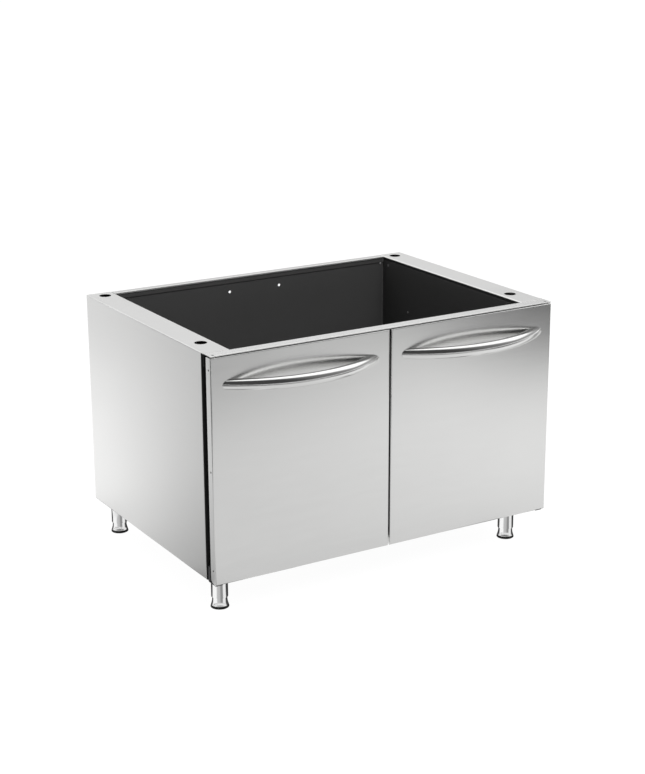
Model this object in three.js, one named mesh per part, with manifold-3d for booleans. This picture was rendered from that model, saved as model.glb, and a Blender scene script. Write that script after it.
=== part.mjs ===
// Stainless steel base cabinet with an open top, box-section sides and two pivoted doors.
// Millimetres, +Z up, the doors face -Y. The origin is on the floor, under the middle of the whole
// outline with its handles. Inside the cabinet's group y is 0 at the face of the doors.

import * as THREE from "three";
import { mergeVertices } from "three/addons/utils/BufferGeometryUtils.js";
import Module from "manifold-3d";

const wasm = await Module();
wasm.setup();

// Whole cabinet
const width = 800;
const depth = 570;
const bodyHeight = 460;
const legHeight = 80;

// Sheet metal
const sheet = 1.2;
const linerSheet = 1;
const foldRadius = 2.4;
const linerFoldRadius = 1.8;

// Gaps and cutting shapes
const clearance = 0.3;
const overrun = 6;
const weldDistance = 0.001;

// Side walls: a steel tray closed by an inner liner
const sideBox = 57;
const sideSetback = 37;
const flangeLip = 8;
const linerLip = 12;
const locatingHoleRadius = 12.5;
const locatingHoleInset = 32;
const frontLocatingHoleSetback = 100;
const rearLocatingHoleInset = 27;

// Top rails
const frontRailDepth = 29;
const frontRailSetback = 1.5;
const frontRailLip = 25;
const frontRailHem = 14;
const rearRailDepth = 19;
const rearRailLip = 30;
const rearRailNose = 4;

// Rear panel and cabinet floor
const rearPanelInset = 14;
const rearPanelBand = 12;
const rearHoleRadius = 3;
const rearHoleSpacing = 126;
const rearHoleDrop = 34;
const floorRise = 30;

// Channel in the foot of each side wall, which carries the feet
const runnerSheet = 2;
const runnerHeight = 22;
const runnerPlay = 1;
const runnerFoldRadius = 3;

// Doors: an outer tray with an inner tray nested in it
const doorSheet = 1;
const doorInnerSheet = 0.8;
const doorReturn = 15;
const doorThickness = 22;
const doorInnerReturn = 19;
const doorInnerFoldRadius = 1.8;
const doorMiddleGap = 4;
const doorTopGap = 1.2;
const doorMitreRise = 6;
const doorMitreWidth = 5;

// Pivot hinges, at the outer front corners
const pivotInset = 10;
const pivotSetback = 9;
const pinRadius = 2.5;
const pinReach = 12;
const pinChamfer = 0.6;
const bushRadius = 4.2;
const bushLength = 10;
const bushFlangeRadius = 6;
const bushFlange = 0.6;
const bracketSheet = 2;
const bracketFoldRadius = 5;
const bracketWidth = 16;
const bracketMargin = 3;
const bracketNose = 5;
const bracketRise = 30;
const bracketEar = 6.5;

// Magnetic catches, behind the doors at the top
const catchInset = 34;
const catchDrop = 17;
const catchLength = 40;
const catchHeight = 14;
const strikeLength = 34;
const strikeHeight = 12;
const strikeSheet = 1;
const strikeHoleRadius = 1.8;
const strikeHoleSpacing = 18;

// Bowed tube handles
const handleChord = 310;
const handleBow = 48;
const handleDrop = 56;
const handleRadius = 12.4;
const handleEndRadius = 11.2;
const handleWall = 1.5;
const handlePlugLength = 16;
const screwRadius = 2.5;
const screwHeadRadius = 4.5;
const screwHeadHeight = 2.6;
const screwHeadChamfer = 0.9;
const screwReach = 8;

// Adjustable feet
const frontFootSetback = 74;
const rearFootInset = 20;
const sleeveRadius = 17;
const sleeveWall = 1.4;
const sleeveGap = 22.5;
const sleeveTop = 4;
const spindleRadius = 4;
const spindleFoot = 12.5;
const spindleEnd = 3;
const nutFlats = 13;
const nutHeight = 6.5;
const nutPlay = 0.7;
const footFlareRadius = 17.5;
const footRim = 0.7;
const footFlareHeight = 16;
const footTop = 62;
const footChamfer = 1;
const footBoreFloor = 10;
const padRadius = 19;
const padTopRadius = 17.9;
const padHeight = 5;
const padRounding = 0.9;

// Flat facets round a full circle, and along a fold or a curve
const largeFacets = 24;
const smallFacets = 16;
const tubeFacets = 16;
const tubeSteps = 20;
const plugSteps = 3;
const foldFacets = 3;
const flareSteps = 5;

// Places that several pieces share
const half = width / 2;
const underside = legHeight;
const top = legHeight + bodyHeight;
const handleReach = handleBow + handleRadius;
const wallInside = half - sideBox;
const doorWidth = half - doorMiddleGap / 2;
const doorTop = top - 2 * sheet - doorTopGap;
const doorHeight = doorTop - underside;
const runnerBase = underside + sheet + clearance;
const runnerTop = runnerBase + runnerHeight;
const rearPanelFront = depth - rearPanelInset - linerSheet;
const bracketTop = underside - bushFlange - 2 * clearance;
const runnerInside = sideBox - linerSheet - clearance - runnerSheet;
const footInset = runnerInside - nutPlay - nutFlats / 2;
const footPlaces = { front: frontFootSetback, rear: depth - rearFootInset };
const sleeveBore = sleeveRadius - sleeveWall;

// Finishes
const brushedSteel = { color: 0xc4c5c3, metalness: 1, roughness: 0.32 };
const darkCoat = { color: 0x3a3a3b, metalness: 0.4, roughness: 0.55 };
const polishedSteel = { color: 0xdcdddc, metalness: 1, roughness: 0.12 };
const platedSteel = { color: 0xa9abad, metalness: 1, roughness: 0.45 };
const blackRubber = { color: 0x151515, metalness: 0, roughness: 0.8 };
const nylon = { color: 0xe6e4dc, metalness: 0, roughness: 0.5 };
const magnetHousing = { color: 0x2a2a2b, metalness: 0, roughness: 0.6 };

// Any closed geometry, as a solid that can be joined and cut
function solidOf(geometry) {
  const bare = geometry.index ? geometry.toNonIndexed() : geometry.clone();
  bare.deleteAttribute("normal");
  bare.deleteAttribute("uv");
  const welded = mergeVertices(bare, weldDistance);
  const index = welded.index.array;
  const triVerts = [];
  for (let i = 0; i < index.length; i += 3) {
    const [a, b, c] = index.slice(i, i + 3);
    if (a !== b && b !== c && c !== a) triVerts.push(a, b, c);
  }
  const vertProperties = welded.attributes.position.array;
  return new wasm.Manifold(
    new wasm.Mesh({ numProp: 3, vertProperties, triVerts: new Uint32Array(triVerts) }),
  );
}

// A solid as flat-shaded geometry
function geometryOf(solid) {
  const { vertProperties, triVerts } = solid.getMesh();
  const geometry = new THREE.BufferGeometry();
  geometry.setAttribute("position", new THREE.BufferAttribute(vertProperties, 3));
  geometry.setIndex(new THREE.BufferAttribute(triVerts, 1));
  const flat = geometry.toNonIndexed();
  flat.computeVertexNormals();
  return flat;
}

function joined(first, ...others) {
  return others.reduce((whole, other) => whole.add(other), first);
}

function cut(first, ...tools) {
  return tools.reduce((rest, tool) => rest.subtract(tool), first);
}

// A box between two values along each axis
function block([x0, x1], [y0, y1], [z0, z1]) {
  const box = new THREE.BoxGeometry(x1 - x0, y1 - y0, z1 - z0);
  return solidOf(box.translate((x0 + x1) / 2, (y0 + y1) / 2, (z0 + z1) / 2));
}

// A body turned about the Z axis from a profile of [radius, height] points, counterclockwise
function revolved(profile, facets) {
  const points = profile.map(([radius, height]) => new THREE.Vector2(radius, height));
  return new THREE.LatheGeometry(points, facets).rotateX(Math.PI / 2);
}

// An upright round cutter at x, y, between two heights
function uprightDrill(radius, x, y, [z0, z1], facets) {
  const cylinder = new THREE.CylinderGeometry(radius, radius, z1 - z0, facets);
  return solidOf(cylinder.rotateX(Math.PI / 2).translate(x, y, (z0 + z1) / 2));
}

// A round cutter along Y at x, z
function levelDrill(radius, x, z, [y0, y1], facets) {
  const cylinder = new THREE.CylinderGeometry(radius, radius, y1 - y0, facets);
  return solidOf(cylinder.translate(x, (y0 + y1) / 2, z));
}

// An outline drawn in X and Z, extruded along Y
function extrudedAlongY(outline, [y0, y1]) {
  const options = { depth: y1 - y0, bevelEnabled: false, curveSegments: foldFacets };
  return new THREE.ExtrudeGeometry(outline, options).rotateX(Math.PI / 2).translate(0, y1, 0);
}

// An outline drawn in Y and Z, extruded along X
function extrudedAlongX(outline, [x0, x1]) {
  const options = { depth: x1 - x0, bevelEnabled: false, curveSegments: foldFacets };
  const toX = new THREE.Matrix4().makeBasis(
    new THREE.Vector3(0, 1, 0),
    new THREE.Vector3(0, 0, 1),
    new THREE.Vector3(1, 0, 0),
  );
  return new THREE.ExtrudeGeometry(outline, options).applyMatrix4(toX).translate(x0, 0, 0);
}

// The outline of a folded strip of sheet. The line follows the middle of the sheet, from fold to fold.
function foldedOutline(line, thickness, insideRadius) {
  const corners = line.map(([u, v]) => new THREE.Vector2(u, v));
  const halfSheet = thickness / 2;
  const bend = insideRadius + halfSheet;
  const leftSide = [];
  const rightSide = [];
  const squareTo = (along) => new THREE.Vector2(-along.y, along.x);
  corners.forEach((corner, i) => {
    const before = corners[i - 1];
    const after = corners[i + 1];
    if (!before || !after) {
      const along = before ? corner.clone().sub(before) : after.clone().sub(corner);
      const across = squareTo(along.normalize());
      leftSide.push(corner.clone().addScaledVector(across, halfSheet));
      rightSide.push(corner.clone().addScaledVector(across, -halfSheet));
      return;
    }
    const arriving = corner.clone().sub(before).normalize();
    const leaving = after.clone().sub(corner).normalize();
    const turn = Math.sign(arriving.cross(leaving));
    const angle = Math.acos(arriving.dot(leaving));
    const start = corner.clone().addScaledVector(arriving, -bend * Math.tan(angle / 2));
    const centre = start.clone().addScaledVector(squareTo(arriving), turn * bend);
    for (let k = 0; k <= foldFacets; k += 1) {
      const swing = (turn * angle * k) / foldFacets;
      const spoke = start.clone().rotateAround(centre, swing).sub(centre).normalize();
      leftSide.push(centre.clone().addScaledVector(spoke, bend - turn * halfSheet));
      rightSide.push(centre.clone().addScaledVector(spoke, bend + turn * halfSheet));
    }
  });
  return new THREE.Shape([...rightSide, ...leftSide.reverse()]);
}

// The outline across a tray: its walls stand along +V, with a rolled fold at each foot
function rolledOutline(halfSpan, [floor, rim], radius) {
  const outline = new THREE.Shape();
  outline.moveTo(-halfSpan, rim);
  outline.lineTo(-halfSpan, floor + radius);
  outline.absarc(-halfSpan + radius, floor + radius, radius, Math.PI, 1.5 * Math.PI, false);
  outline.lineTo(halfSpan - radius, floor);
  outline.absarc(halfSpan - radius, floor + radius, radius, 1.5 * Math.PI, 2 * Math.PI, false);
  outline.lineTo(halfSpan, rim);
  return outline;
}

// A block about the Z axis whose four lower edges are rolled
function rolledBlock(acrossX, acrossY, heights, radius) {
  const alongY = extrudedAlongY(
    rolledOutline(acrossX / 2, heights, radius),
    [-acrossY / 2, acrossY / 2],
  );
  const alongX = extrudedAlongX(
    rolledOutline(acrossY / 2, heights, radius),
    [-acrossX / 2, acrossX / 2],
  );
  return solidOf(alongY).intersect(solidOf(alongX));
}

// A folded sheet tray that fills the given box. open names the side that has no sheet.
function tray({ x, y, z }, open, thickness, radius) {
  const [sizeX, sizeY, sizeZ] = [x, y, z].map(([low, high]) => high - low);
  const middle = [x, y, z].map(([low, high]) => (low + high) / 2);
  const ways = {
    "+x": { spans: [sizeZ, sizeY, sizeX], turn: [0, Math.PI / 2, 0], at: [x[0], middle[1], middle[2]] },
    "-x": { spans: [sizeZ, sizeY, sizeX], turn: [0, -Math.PI / 2, 0], at: [x[1], middle[1], middle[2]] },
    "+y": { spans: [sizeX, sizeZ, sizeY], turn: [-Math.PI / 2, 0, 0], at: [middle[0], y[0], middle[2]] },
    "-y": { spans: [sizeX, sizeZ, sizeY], turn: [Math.PI / 2, 0, 0], at: [middle[0], y[1], middle[2]] },
    "-z": { spans: [sizeX, sizeY, sizeZ], turn: [Math.PI, 0, 0], at: [middle[0], middle[1], z[1]] },
  };
  const { spans, turn, at } = ways[open];
  const [across, along, height] = spans;
  const shell = rolledBlock(across, along, [0, height], radius).subtract(
    rolledBlock(
      across - 2 * thickness,
      along - 2 * thickness,
      [thickness, height + overrun],
      radius - thickness,
    ),
  );
  const placed = new THREE.Matrix4().compose(
    new THREE.Vector3(...at),
    new THREE.Quaternion().setFromEuler(new THREE.Euler(...turn)),
    new THREE.Vector3(1, 1, 1),
  );
  return solidOf(geometryOf(shell).applyMatrix4(placed));
}

// A flat bar with round ends, drawn about the origin
function roundEndedOutline(length, height) {
  const straight = (length - height) / 2;
  const outline = new THREE.Shape();
  outline.moveTo(-straight, -height / 2);
  outline.lineTo(straight, -height / 2);
  outline.absarc(straight, 0, height / 2, -Math.PI / 2, Math.PI / 2, false);
  outline.lineTo(-straight, height / 2);
  outline.absarc(-straight, 0, height / 2, Math.PI / 2, 1.5 * Math.PI, false);
  return outline;
}

function piece(name, shape, finish) {
  const geometry = shape.isBufferGeometry ? geometryOf(solidOf(shape)) : geometryOf(shape);
  const mesh = new THREE.Mesh(geometry, new THREE.MeshStandardMaterial(finish));
  mesh.name = name;
  return mesh;
}

// Side wall: the outer tray with its locating holes, the tongue that meets the front rail, and the
// lip that the top flange turns down along its inner edge

function sidePanel() {
  const wall = tray(
    { x: [-half, -wallInside], y: [sideSetback, depth], z: [underside, top] },
    "+x",
    sheet,
    foldRadius,
  );
  const tongue = block(
    [-half + sheet / 2, -wallInside],
    [frontRailDepth + clearance, sideSetback + foldRadius],
    [top - sheet, top],
  );
  const lip = block(
    [-wallInside - sheet, -wallInside],
    [frontRailDepth + clearance, depth - foldRadius],
    [top - flangeLip, top],
  );
  const edge = new THREE.Shape();
  const fold = -wallInside - foldRadius;
  edge.moveTo(fold, top);
  edge.absarc(fold, top - foldRadius, foldRadius, Math.PI / 2, 0, true);
  edge.lineTo(-wallInside + overrun, top - foldRadius);
  edge.lineTo(-wallInside + overrun, top + overrun);
  edge.lineTo(fold, top + overrun);
  const roundedOff = solidOf(extrudedAlongY(edge, [-overrun, depth + overrun]));
  const locatingHoles = [frontLocatingHoleSetback, depth - rearLocatingHoleInset].map((y) =>
    uprightDrill(
      locatingHoleRadius,
      -half + locatingHoleInset,
      y,
      [top - sheet - overrun, top + overrun],
      largeFacets,
    ),
  );
  return cut(
    joined(wall, tongue, lip),
    roundedOff,
    ...locatingHoles,
    ...spindleHoles(underside, sheet),
  );
}

// The holes that the feet's spindles pass through, in a sheet that starts at the given height
function spindleHoles(height, thickness) {
  return Object.values(footPlaces).map((y) =>
    uprightDrill(
      spindleRadius + clearance,
      -half + footInset,
      y,
      [height - overrun, height + thickness + overrun / 2],
      smallFacets,
    ),
  );
}

function innerLiner() {
  return tray(
    {
      x: [-wallInside - linerLip, -wallInside],
      y: [sideSetback + sheet + clearance, depth - sheet - clearance],
      z: [runnerTop + clearance, top - flangeLip - clearance],
    },
    "-x",
    linerSheet,
    linerFoldRadius,
  );
}

function baseRunner() {
  const outer = -half + sheet + runnerPlay + runnerSheet / 2;
  const inner = -half + runnerInside + runnerSheet / 2;
  const base = runnerBase + runnerSheet / 2;
  const outline = foldedOutline(
    [
      [outer, runnerTop],
      [outer, base],
      [inner, base],
      [inner, runnerTop],
    ],
    runnerSheet,
    runnerFoldRadius - runnerSheet,
  );
  const channel = solidOf(
    extrudedAlongY(outline, [sideSetback + sheet + clearance, depth - sheet - clearance]),
  );
  return cut(channel, ...spindleHoles(runnerBase, runnerSheet));
}

// Rails across the top

function frontTopRail() {
  const fold = frontRailDepth - foldRadius;
  const lipEnd = top - frontRailLip;
  const outline = new THREE.Shape();
  const nose = frontRailSetback + sheet;
  outline.moveTo(frontRailHem, top - 2 * sheet);
  outline.lineTo(nose, top - 2 * sheet);
  outline.absarc(nose, top - sheet, sheet, 1.5 * Math.PI, Math.PI / 2, true);
  outline.lineTo(fold, top);
  outline.absarc(fold, top - foldRadius, foldRadius, Math.PI / 2, 0, true);
  outline.lineTo(frontRailDepth, lipEnd);
  outline.lineTo(frontRailDepth - sheet, lipEnd);
  outline.absarc(fold, top - foldRadius, foldRadius - sheet, 0, Math.PI / 2, false);
  outline.lineTo(frontRailHem, top - sheet);
  const rail = solidOf(extrudedAlongX(outline, [-half, half]));
  const pinHoles = [-1, 1].map((hand) =>
    uprightDrill(
      pinRadius + clearance,
      hand * (half - pivotInset),
      pivotSetback,
      [top - 2 * sheet - overrun, top + overrun],
      smallFacets,
    ),
  );
  return cut(rail, ...pinHoles);
}

function rearTopRail() {
  const outline = foldedOutline(
    [
      [depth - rearRailDepth + sheet / 2, top - rearRailNose],
      [depth - rearRailDepth + sheet / 2, top - sheet / 2],
      [depth - sheet / 2, top - sheet / 2],
      [depth - sheet / 2, top - rearRailLip],
    ],
    sheet,
    foldRadius - sheet,
  );
  return extrudedAlongX(outline, [-wallInside + clearance, wallInside - clearance]);
}

// The rear panel steps forward behind the rear rail's front edge
function rearPanel() {
  const middle = rearPanelFront + linerSheet / 2;
  const band = depth - rearRailDepth + sheet + clearance + linerSheet / 2;
  const stepTop = top - sheet - rearPanelBand;
  const outline = foldedOutline(
    [
      [middle, runnerBase],
      [middle, stepTop - (middle - band)],
      [band, stepTop],
      [band, top - foldRadius - clearance],
    ],
    linerSheet,
    linerFoldRadius - linerSheet,
  );
  const panel = solidOf(
    extrudedAlongX(outline, [-wallInside + clearance, wallInside - clearance]),
  );
  const holes = [-rearHoleSpacing / 2, rearHoleSpacing / 2].map((x) =>
    levelDrill(
      rearHoleRadius,
      x,
      top - rearHoleDrop,
      [rearPanelFront - overrun, rearPanelFront + overrun],
      smallFacets,
    ),
  );
  return cut(panel, ...holes);
}

function floorPanel() {
  return tray(
    {
      x: [-wallInside + clearance, wallInside - clearance],
      y: [sideSetback, rearPanelFront - clearance],
      z: [runnerBase, underside + floorRise],
    },
    "-z",
    sheet,
    foldRadius,
  );
}

// Pivot hinge: a folded bracket under the door's outer corner, with an ear up its outer edge, pins
// above and below, nylon bushes

function lowerHingeBracket() {
  const tongue = bracketTop - bracketSheet / 2;
  const leg = sideSetback - clearance - bracketSheet / 2;
  const outline = foldedOutline(
    [
      [bracketNose, tongue],
      [leg, tongue],
      [leg, underside + bracketRise],
    ],
    bracketSheet,
    bracketFoldRadius - bracketSheet,
  );
  const outerEdge = -half + bracketMargin;
  const bracket = solidOf(extrudedAlongX(outline, [outerEdge, outerEdge + bracketWidth]));
  const ear = block(
    [outerEdge, outerEdge + bracketSheet],
    [leg - bracketSheet / 2 - bracketEar, leg],
    [tongue, underside + bracketRise],
  );
  return cut(
    joined(bracket, ear),
    uprightDrill(
      pinRadius + clearance,
      -half + pivotInset,
      pivotSetback,
      [bracketTop - bracketSheet - overrun, bracketTop + overrun],
      smallFacets,
    ),
  );
}

// A pin that stands on its flat end, with a chamfer round the end that enters the door
function pivotPin(length) {
  return revolved(
    [
      [0, 0],
      [pinRadius, 0],
      [pinRadius, length - pinChamfer],
      [pinRadius - pinChamfer, length],
      [0, length],
    ],
    smallFacets,
  );
}

// A flanged bush that stands in a hole of the door, whose skin is at height 0
function pivotBush() {
  const bore = pinRadius + clearance;
  const flangeTop = clearance + bushFlange;
  return revolved(
    [
      [bore, -bushLength],
      [bushRadius, -bushLength],
      [bushRadius, clearance],
      [bushFlangeRadius, clearance],
      [bushFlangeRadius, flangeTop],
      [bore, flangeTop],
      [bore, -bushLength],
    ],
    smallFacets,
  );
}

// Magnetic catch on the front rail's lip, and the strike plate that it holds

const strikeBack = doorThickness + clearance + strikeSheet;

function magnetCatch() {
  const body = extrudedAlongY(roundEndedOutline(catchLength, catchHeight), [
    strikeBack + clearance,
    frontRailDepth - sheet - clearance,
  ]);
  return body.translate(-half + doorWidth - catchInset, 0, top - catchDrop);
}

function strikePlate() {
  const plate = solidOf(
    extrudedAlongY(roundEndedOutline(strikeLength, strikeHeight), [
      doorThickness + clearance,
      strikeBack,
    ]),
  );
  const holes = [-strikeHoleSpacing / 2, strikeHoleSpacing / 2].map((x) =>
    levelDrill(
      strikeHoleRadius,
      x,
      0,
      [doorThickness - overrun, strikeBack + overrun],
      smallFacets,
    ),
  );
  return cut(plate, ...holes);
}

// Door trays, in the door's own frame: x from the hinge edge, y from the face, z from the bottom

const handleArcRadius = (handleChord ** 2 / 4 + handleBow ** 2) / (2 * handleBow);
const handleHalfAngle = Math.asin(handleChord / 2 / handleArcRadius);
const handleHeight = doorHeight - handleDrop;
const handleEnds = { outer: -handleChord / 2, inner: handleChord / 2 };

// The sloping cut at the foot of the hinge side, across both trays
function mitreCutter() {
  const slope = new THREE.Shape();
  slope.moveTo(foldRadius, -overrun);
  slope.lineTo(foldRadius, 0);
  slope.lineTo(doorThickness, doorMitreRise);
  slope.lineTo(doorThickness + overrun, doorMitreRise);
  slope.lineTo(doorThickness + overrun, -overrun);
  return solidOf(extrudedAlongX(slope, [-overrun, doorMitreWidth]));
}

function bushHole() {
  return uprightDrill(
    bushRadius + clearance,
    pivotInset,
    pivotSetback,
    [-overrun, doorHeight + overrun],
    smallFacets,
  );
}

function doorOuterPan() {
  const pan = tray(
    { x: [0, doorWidth], y: [0, doorReturn], z: [0, doorHeight] },
    "+y",
    doorSheet,
    foldRadius,
  );
  const screwHoles = Object.values(handleEnds).map((x) =>
    levelDrill(
      screwRadius + clearance,
      doorWidth / 2 + x,
      handleHeight,
      [-overrun, doorSheet + overrun],
      smallFacets,
    ),
  );
  return cut(pan, mitreCutter(), bushHole(), ...screwHoles);
}

function doorInnerPan() {
  const inset = doorSheet + clearance;
  const pan = tray(
    {
      x: [inset, doorWidth - inset],
      y: [doorThickness - doorInnerReturn, doorThickness],
      z: [inset, doorHeight - inset],
    },
    "-y",
    doorInnerSheet,
    doorInnerFoldRadius,
  );
  return cut(pan, mitreCutter(), bushHole());
}

// Bowed tube handle, in a frame at the middle of its seat on the door

// The tube's radius at a place along it, narrowing evenly from the middle to the door's face
function handleRadiusAt(along) {
  const share = along / (handleArcRadius * handleHalfAngle);
  return THREE.MathUtils.lerp(handleRadius, handleEndRadius, share ** 2);
}

// One wall of the tube: points [radius, along] whose radius lies an inset inside the tube's skin
function handleWallLine(inset, from, to, steps) {
  return Array.from({ length: steps + 1 }, (_, k) => {
    const along = THREE.MathUtils.lerp(from, to, k / steps);
    return new THREE.Vector2(handleRadiusAt(along) - inset, along);
  });
}

// Turned work with its axis along Y, bent round the handle's arc and cut off at the door's face
function bentToHandle(profile) {
  const turned = new THREE.LatheGeometry(profile, tubeFacets);
  const places = turned.attributes.position;
  for (let i = 0; i < places.count; i += 1) {
    const angle = places.getY(i) / handleArcRadius;
    const reach = handleArcRadius + places.getX(i);
    const bow = reach * Math.cos(angle) - handleArcRadius + handleBow;
    places.setXY(i, reach * Math.sin(angle), -bow);
  }
  const inFront = block(
    [-handleChord, handleChord],
    [-handleReach - overrun, -clearance],
    [-handleRadius - overrun, handleRadius + overrun],
  );
  return solidOf(turned).intersect(inFront);
}

// The turned work runs on past the door's face, so that the cut crosses all of it
const handleRunOut = handleArcRadius * handleHalfAngle + 2 * handleRadius;

function handleTube() {
  const skin = handleWallLine(0, -handleRunOut, handleRunOut, tubeSteps);
  const bore = handleWallLine(handleWall, handleRunOut, -handleRunOut, tubeSteps);
  return bentToHandle([...skin, ...bore, skin[0]]);
}

// The slug inside each end of the tube, tapped for the screw
function handlePlug(x) {
  const side = Math.sign(x);
  const inside = side * (handleArcRadius * handleHalfAngle - handlePlugLength);
  const outside = side * handleRunOut;
  const [from, to] = [Math.min(inside, outside), Math.max(inside, outside)];
  const skin = handleWallLine(handleWall + clearance, from, to, plugSteps);
  const slug = bentToHandle([new THREE.Vector2(0, from), ...skin, new THREE.Vector2(0, to)]);
  const tapping = [-screwReach - clearance, overrun];
  return cut(slug, levelDrill(screwRadius + clearance, x, 0, tapping, smallFacets));
}

// A screw along +Z: its head sits inside the door, against the sheet at height 0
function handleScrew() {
  const seat = doorSheet + clearance;
  const crown = seat + screwHeadHeight;
  return revolved(
    [
      [0, -screwReach],
      [screwRadius, -screwReach],
      [screwRadius, seat],
      [screwHeadRadius, seat],
      [screwHeadRadius, crown - screwHeadChamfer],
      [screwHeadRadius - screwHeadChamfer, crown],
      [0, crown],
    ],
    smallFacets,
  );
}

// Adjustable foot, in a frame on the floor under its middle

// The fixed sleeve, with the spindle that the foot turns on and that bolts into the side wall
function footSleeve() {
  const seat = underside - clearance;
  const spindleTop = runnerBase + runnerSheet + clearance + nutHeight + spindleEnd;
  return revolved(
    [
      [0, spindleFoot],
      [spindleRadius, spindleFoot],
      [spindleRadius, seat - sleeveTop],
      [sleeveBore, seat - sleeveTop],
      [sleeveBore, sleeveGap],
      [sleeveRadius, sleeveGap],
      [sleeveRadius, seat],
      [spindleRadius, seat],
      [spindleRadius, spindleTop],
      [0, spindleTop],
    ],
    largeFacets,
  );
}

function footNut() {
  const corner = nutFlats / Math.sqrt(3);
  const sixth = Math.PI / 3;
  const outline = new THREE.Shape(
    [0, 1, 2, 3, 4, 5].map((k) => {
      const angle = (k + 1 / 2) * sixth;
      return new THREE.Vector2(corner * Math.cos(angle), corner * Math.sin(angle));
    }),
  );
  const hole = new THREE.Path();
  hole.absarc(0, 0, spindleRadius + clearance, 0, 2 * Math.PI, true);
  outline.holes.push(hole);
  const options = { depth: nutHeight, bevelEnabled: false, curveSegments: smallFacets / 2 };
  const seat = runnerBase + runnerSheet + clearance;
  return new THREE.ExtrudeGeometry(outline, options).translate(0, 0, seat);
}

// The foot that screws down out of its sleeve: a neck that flares to a round base
function footPost() {
  const neck = sleeveBore - clearance;
  const bore = spindleRadius + clearance;
  const seat = padHeight + clearance;
  const flare = [];
  for (let k = 0; k <= flareSteps; k += 1) {
    const share = k / flareSteps;
    flare.push([
      neck + (footFlareRadius - neck) * (1 - share) ** 2,
      THREE.MathUtils.lerp(seat + footRim, footFlareHeight, share),
    ]);
  }
  return revolved(
    [
      [0, seat],
      [footFlareRadius, seat],
      ...flare,
      [neck, footTop - footChamfer],
      [neck - footChamfer, footTop],
      [bore, footTop],
      [bore, footBoreFloor],
      [0, footBoreFloor],
    ],
    largeFacets,
  );
}

function footPad() {
  return revolved(
    [
      [0, 0],
      [padRadius - padRounding, 0],
      [padRadius, padRounding],
      [padTopRadius, padHeight],
      [0, padHeight],
    ],
    largeFacets,
  );
}

// Assembly. The right hand is the left hand mirrored.

const cabinet = new THREE.Group();
cabinet.position.y = (handleReach - depth) / 2;

cabinet.add(
  piece("front_top_rail", frontTopRail(), brushedSteel),
  piece("rear_top_rail", rearTopRail(), brushedSteel),
  piece("rear_panel", rearPanel(), darkCoat),
  piece("floor_panel", floorPanel(), darkCoat),
);

for (const hand of ["left", "right"]) {
  const mirrored = new THREE.Group();
  mirrored.scale.x = hand === "left" ? 1 : -1;
  cabinet.add(mirrored);
  mirrored.add(sideWall(hand), door(hand));
}

function sideWall(hand) {
  const group = new THREE.Group();
  const upperPin = piece(`${hand}_upper_pivot_pin`, pivotPin(top - doorTop + pinReach), platedSteel);
  upperPin.rotation.x = Math.PI;
  upperPin.position.set(-half + pivotInset, pivotSetback, top);
  const lowerPinFoot = bracketTop - bracketSheet;
  const lowerPin = piece(
    `${hand}_lower_pivot_pin`,
    pivotPin(underside - lowerPinFoot + pinReach),
    platedSteel,
  );
  lowerPin.position.set(-half + pivotInset, pivotSetback, lowerPinFoot);
  group.add(
    piece(`${hand}_side_panel`, sidePanel(), brushedSteel),
    piece(`${hand}_inner_liner`, innerLiner(), darkCoat),
    piece(`${hand}_base_runner`, baseRunner(), platedSteel),
    piece(`${hand}_lower_hinge_bracket`, lowerHingeBracket(), platedSteel),
    piece(`${hand}_magnet_catch`, magnetCatch(), magnetHousing),
    upperPin,
    lowerPin,
  );
  for (const [end, y] of Object.entries(footPlaces)) {
    const foot = new THREE.Group();
    foot.position.set(-half + footInset, y, 0);
    foot.add(
      piece(`${end}_${hand}_foot_sleeve`, footSleeve(), polishedSteel),
      piece(`${end}_${hand}_foot_nut`, footNut(), platedSteel),
      piece(`${end}_${hand}_foot_post`, footPost(), polishedSteel),
      piece(`${end}_${hand}_foot_pad`, footPad(), blackRubber),
    );
    group.add(foot);
  }
  return group;
}

function door(hand) {
  const group = new THREE.Group();
  group.position.set(-half, 0, underside);
  const upperBush = piece(`${hand}_upper_pivot_bush`, pivotBush(), nylon);
  upperBush.position.set(pivotInset, pivotSetback, doorHeight);
  const lowerBush = piece(`${hand}_lower_pivot_bush`, pivotBush(), nylon);
  lowerBush.rotation.x = Math.PI;
  lowerBush.position.set(pivotInset, pivotSetback, 0);
  const strike = piece(`${hand}_strike_plate`, strikePlate(), platedSteel);
  strike.position.set(doorWidth - catchInset, 0, doorHeight - (catchDrop - (top - doorTop)));
  const handle = new THREE.Group();
  handle.position.set(doorWidth / 2, 0, handleHeight);
  handle.add(piece(`${hand}_handle`, handleTube(), brushedSteel));
  for (const [end, x] of Object.entries(handleEnds)) {
    const screw = piece(`${hand}_handle_${end}_screw`, handleScrew(), platedSteel);
    screw.rotation.x = -Math.PI / 2;
    screw.position.x = x;
    handle.add(piece(`${hand}_handle_${end}_plug`, handlePlug(x), platedSteel), screw);
  }
  group.add(
    piece(`${hand}_door_outer_pan`, doorOuterPan(), brushedSteel),
    piece(`${hand}_door_inner_pan`, doorInnerPan(), brushedSteel),
    upperBush,
    lowerBush,
    strike,
    handle,
  );
  return group;
}

export default cabinet;
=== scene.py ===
"""The looks of a stainless steel base cabinet: its finishes, fine pieces, light and camera.

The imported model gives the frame. Folded sheet pieces are refined copies of its nodes. The handles,
feet and fasteners are made here, at the places and sizes of the nodes that they stand for.
"""

from __future__ import annotations

import logging
import math
from collections.abc import Iterable, Mapping, Sequence
from dataclasses import dataclass
from enum import Enum
from typing import Any

import bmesh
import bpy
from mathutils import Matrix, Vector

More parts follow.
